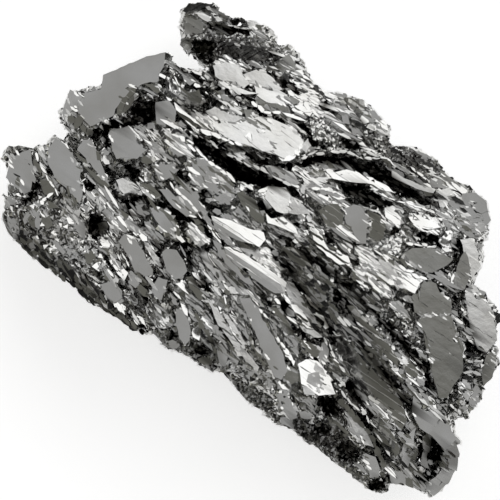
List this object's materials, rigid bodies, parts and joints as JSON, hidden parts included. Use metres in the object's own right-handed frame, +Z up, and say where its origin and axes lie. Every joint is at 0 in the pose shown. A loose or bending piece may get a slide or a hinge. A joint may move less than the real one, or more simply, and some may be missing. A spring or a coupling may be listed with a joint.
{
  "type": "tungsten specimen",
  "caption": "Broken lump of silvery grey tungsten: a fan of long flat-faced blades grown together, with dark clefts, a knob and a hooked end, lying flat.",
  "frame": {"origin": "middle of the footprint, on the surface that the lump rests on", "axes": "+X along the lump's long axis, towards the hooked end; +Z up from the rest face"},
  "size_m": [0.0552, 0.0336, 0.0177],
  "materials": {
    "tungsten": "bright broken metal, silvery grey"
  },
  "bodies": {
    "root": {"specimen": "tungsten"}
  },
  "joints": []
}
